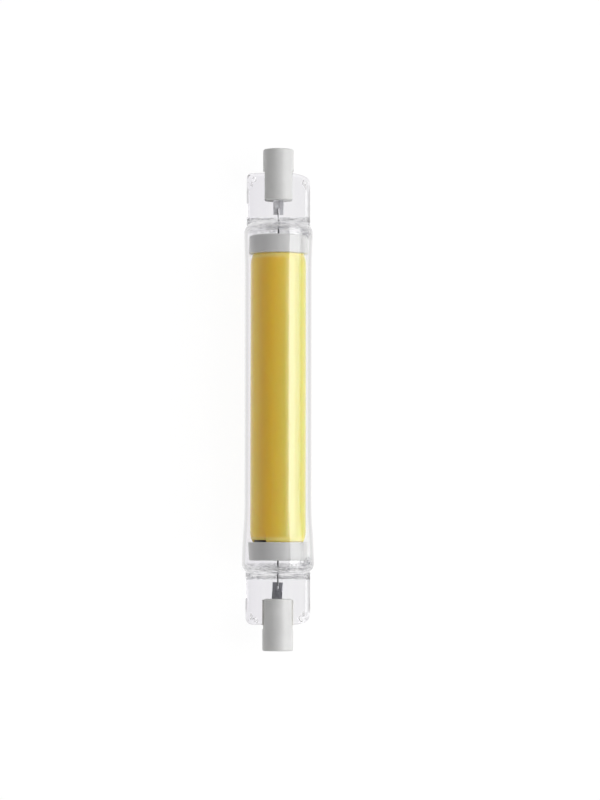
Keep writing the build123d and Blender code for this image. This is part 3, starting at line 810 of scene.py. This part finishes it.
def sealing_foil(side, material):
    """A thin rolled foil, slightly crumpled by the press, in the place of the CAD foil."""
    word = "right" if side > 0 else "left"
    low, high = reach(f"{word}_foil")
    lean = math.radians(FOIL_LEAN[word])
    length = (high.x - low.x - FOIL_WIDTH * math.sin(lean)) / math.cos(lean)
    start = (low.x if side > 0 else high.x) + side * FOIL_WIDTH / 2 * math.sin(lean)
    rings = []
    for share in np.linspace(0.0, 1.0, FOIL_ROWS):
        upper, lower = [], []
        x = share * length
        ragged = 1.0 - FOIL_RAGGED * abs(noise.noise((x * 1.3, side * 3.0, 0.0)))
        for y in np.linspace(-0.5, 0.5, FOIL_COLUMNS) * FOIL_WIDTH * ragged:
            crumple = noise.noise((x * 0.75 + 5.0 * side, y * 0.9, 2.0))
            crumple += 0.35 * noise.noise((x * 2.2, y * 2.6, 7.0))
            held = min(1.0, 4.0 * share, 4.0 * (1.0 - share))
            z = high.z - CAD_FOIL_HALF + FOIL_CRUMPLE * crumple * held
            place_x = start + side * (x * math.cos(lean) - y * math.sin(lean))
            place_y = y * math.cos(lean) + x * math.sin(lean)
            upper.append((place_x, place_y, z + FOIL_HALF))
            lower.append((place_x, place_y, z - FOIL_HALF))
        rings.append(upper + lower[::-1])
    count = len(rings[0])
    faces = ring_faces(len(rings), count)
    for first in (0, (len(rings) - 1) * count):
        for column in range(count // 2 - 1):
            corners = (column, column + 1, count - 2 - column, count - 1 - column)
            faces.append(tuple(first + corner for corner in corners))
    return piece(f"{word}_seal", [(np.concatenate(rings), faces, False)], material)


# The lamp's own pieces

glass = clear_glass()
resin = phosphor_resin()
plug_white = moulded_white()
ceramic = fired_ceramic()
mortar = setting_cement()
foil_grey = rolled_foil()
lead_grey = drawn_leads()
nickel = plated_nickel()
board_white = board_coat()

# Plain coats: light and dark colour, roughness, grains a metre and the depth of the grain in millimetres
chip = plain_coat("chip_crystal", (0.55, 0.6, 0.62), (0.45, 0.5, 0.52), 0.15, 4000.0, 0.01)
laminate = plain_coat("driver_laminate", (0.8, 0.8, 0.75), (0.68, 0.68, 0.63), 0.4, 2500.0, 0.04)
black_mould = plain_coat("component_black", (0.07, 0.07, 0.07), (0.035, 0.035, 0.035), 0.5, 3500.0, 0.04)
resistor_blue = plain_coat("resistor_blue", (0.3, 0.42, 0.46), (0.24, 0.35, 0.39), 0.25, 900.0, 0.05)
woven_white = plain_coat("sleeve_white", (0.85, 0.84, 0.8), (0.66, 0.65, 0.6), 0.8, 3800.0, 0.1)

fit(glass_envelope(glass), "glass_envelope")
fit(grown("resin_sleeve", sleeve_tree(), resin=resin), "phosphor_sleeve")
for side, word in ((1, "right"), (-1, "left")):
    fit(end_plug(side, plug_white), f"{word}_end_plug")
    cap = finer(f"{word}_ceramic_cap", f"{word}_cap", ceramic, bevel=0.08)
    setting = finer(f"{word}_cement", f"{word}_setting", mortar, bevel=0.04)
    button = finer(f"{word}_contact", f"{word}_button", nickel, bevel=0.04)
    fit(cap, f"{word}_ceramic_cap")
    fit(setting, f"{word}_cement")
    fit(button, f"{word}_contact")
    fit(sealing_foil(side, foil_grey), f"{word}_foil")
    dress(f"{word}_lead_wire", lead_grey)
    dress(f"{word}_outer_lead", lead_grey)
dress("led_board", board_white)
dress("led_chips", chip)
dress("driver_board", laminate)
dress("bridge_rectifier", black_mould)
dress("current_regulators", black_mould)
dress("sense_resistors", black_mould)
dress("fuse_resistor", resistor_blue)
dress("wire_sleeve", woven_white)
dress("link_wires", lead_grey)


# Floor, light and camera

# The table in metres, and the glow that makes up most of what the camera sees of it
TABLE_HALF = 1.1
TABLE_GAP = 0.00002
TABLE_GLOW = 1.06
TABLE_GLOW_SHARE = 0.9

# How bright the greyer part of the white room is, which only mirrors and glass see
FIELD_GREY = 0.6

# The camera in metres, with its vertical field in degrees and its sensor in millimetres
CAMERA_PLACE = (-0.03526, -0.00512, 0.705)
CAMERA_TARGET = (-0.00016, -0.00512, 0.0)
CAMERA_UP = (1.0, 0.00125, 0.0)
CAMERA_FIELD = 15.13
SENSOR_HEIGHT = 24.0


def shown_rays(tree):
    """Three links: 1 for the camera's rays, for mirrored rays, and for rays through clear glass.

    The last two are 0 once a ray has met something dull.
    """
    names = ("Is Camera Ray", "Is Glossy Ray", "Is Transmission Ray", "Diffuse Depth")
    camera, glossy, through, dulled = tree.outputs("ShaderNodeLightPath", names)
    sharp = 1.0 - dulled.at_most(1.0)
    return camera, glossy * sharp, through * sharp


def white_floor():
    """A white table that keeps a faint shadow. Mirrors and glass see the white room through it."""
    finish = Finish("table")
    grain = finish.noise(8.0, 2.0)
    colour = finish.blend(grain, (0.93, 0.93, 0.93), (0.95, 0.95, 0.95))
    paint = finish.node("ShaderNodeBsdfDiffuse", {"Color": colour})
    glow = finish.node("ShaderNodeEmission", {"Color": WHITE, "Strength": TABLE_GLOW})
    camera, glossy, through = shown_rays(finish)
    lit = finish.crossed(camera * TABLE_GLOW_SHARE, paint, glow)
    open_air = finish.node("ShaderNodeBsdfTransparent", {"Color": WHITE})
    material = finish.show(finish.crossed(glossy.at_least(through), lit, open_air))
    mesh = bpy.data.meshes.new("table")
    low = packed_low.z - TABLE_GAP
    size = TABLE_HALF
    corners = [(-size, -size, low), (size, -size, low), (size, size, low), (-size, size, low)]
    mesh.from_pydata(corners, [], [(0, 1, 2, 3)])
    mesh.materials.append(material)
    floor = bpy.data.objects.new("table", mesh)
    bpy.context.scene.collection.objects.link(floor)


def studio_world():
    """White for the eye, and a grey room for light, darker overhead.

    Below the lamp, mirrors and glass see a field that is white straight down and greyer to the sides. Above
    it, both see white cards past the lamp's two ends. Between the cards glass sees pale grey, and mirrors
    see the room.
    """
    world = bpy.data.worlds.new("studio")
    bpy.context.scene.world = world
    world.use_nodes = True
    world.node_tree.nodes.clear()
    tree = Tree(world.node_tree)
    camera, glossy, through = shown_rays(tree)
    x, z = tree.apart(tree.node("ShaderNodeTexCoord", output="Generated"), "XZ")
    cards = abs(x).ramp(0.3, 0.55)
    below = z.ramp(0.01, -0.01)
    field = z.ramp(-0.72, -0.93) * (1.0 - FIELD_GREY) + FIELD_GREY
    passed_cards = FIELD_GREY + (1.0 - FIELD_GREY) * cards
    mirrored = cards + (field - cards) * below
    passed = passed_cards + (field - passed_cards) * below
    white = camera.at_least(glossy * mirrored).at_least(through * passed)
    grey = tree.blend(z.ramp(0.0, 0.9), (0.46, 0.457, 0.452), (0.03, 0.03, 0.03))
    dim = tree.node("ShaderNodeBackground", {"Color": grey, "Strength": 1.0})
    bright = tree.node("ShaderNodeBackground", {"Color": WHITE, "Strength": 1.0})
    tree.node("ShaderNodeOutputWorld", {"Surface": tree.crossed(white, dim, bright)})


def aimed(eye, target, up):
    """The place and turn of something that looks from eye to target."""
    back = (Vector(eye) - Vector(target)).normalized()
    right = Vector(up).cross(back).normalized()
    over = back.cross(right)
    return Matrix.Translation(eye) @ Matrix((right, over, back)).transposed().to_4x4()


def softbox(name, angle, spread, distance, length, radiance, lean=0.0, mirrored=True, lit=True):
    """A panel aimed at the lamp, with its angles in degrees and its lengths in metres.

    Angle is counted from straight up towards -Y, and lean towards +X. Spread is how wide the panel looks from
    the lamp. Mirrors see it where mirrored is true, and it lights dull surfaces where lit is true.
    """
    turn = math.radians(angle)
    tip = math.radians(lean)
    across = Vector((0.0, -math.sin(turn), math.cos(turn)))
    eye = (across * math.cos(tip) + Vector((math.sin(tip), 0.0, 0.0))) * distance
    light = bpy.data.lights.new(name, "AREA")
    light.shape = "RECTANGLE"
    light.size = length
    light.size_y = 2 * distance * math.tan(math.radians(spread / 2))
    light.energy = radiance * light.size * light.size_y * math.pi
    made = bpy.data.objects.new(name, light)
    made.matrix_world = aimed(eye, (0.0, 0.0, 0.0), (1.0, 0.0, 0.0)) @ Matrix.Rotation(math.pi / 2, 4, "Z")
    made.visible_glossy = mirrored
    made.visible_diffuse = lit
    bpy.context.scene.collection.objects.link(made)


def place_camera():
    """A camera over the lamp that has +X up in its picture."""
    lens = bpy.data.cameras.new("camera")
    lens.sensor_fit = "VERTICAL"
    lens.sensor_height = SENSOR_HEIGHT
    lens.lens = SENSOR_HEIGHT / 2 / math.tan(math.radians(CAMERA_FIELD / 2))
    made = bpy.data.objects.new("camera", lens)
    made.matrix_world = aimed(CAMERA_PLACE, CAMERA_TARGET, CAMERA_UP)
    bpy.context.scene.collection.objects.link(made)
    bpy.context.scene.camera = made


white_floor()
studio_world()
softbox("key_panel", angle=55.0, spread=39.0, distance=0.6, length=0.62, radiance=3.3)
softbox("glint_panel", angle=46.0, spread=20.0, distance=0.6, length=0.62, radiance=0.7, lit=False)
softbox("top_panel", angle=26.0, spread=18.0, distance=0.6, length=0.62, radiance=0.8, mirrored=False)
softbox("far_panel", angle=-86.0, spread=12.0, distance=0.7, length=0.9, radiance=2.3, mirrored=False)
for word, lean in (("right", 50.0), ("left", -50.0)):
    softbox(f"{word}_end_key", angle=15.0, spread=40.0, distance=0.7, length=0.5, radiance=0.5, lean=lean)
    softbox(f"{word}_end_fill", angle=-83.0, spread=40.0, distance=0.7, length=0.5, radiance=0.15, lean=lean)
place_camera()
bpy.context.scene.view_settings.view_transform = "Standard"
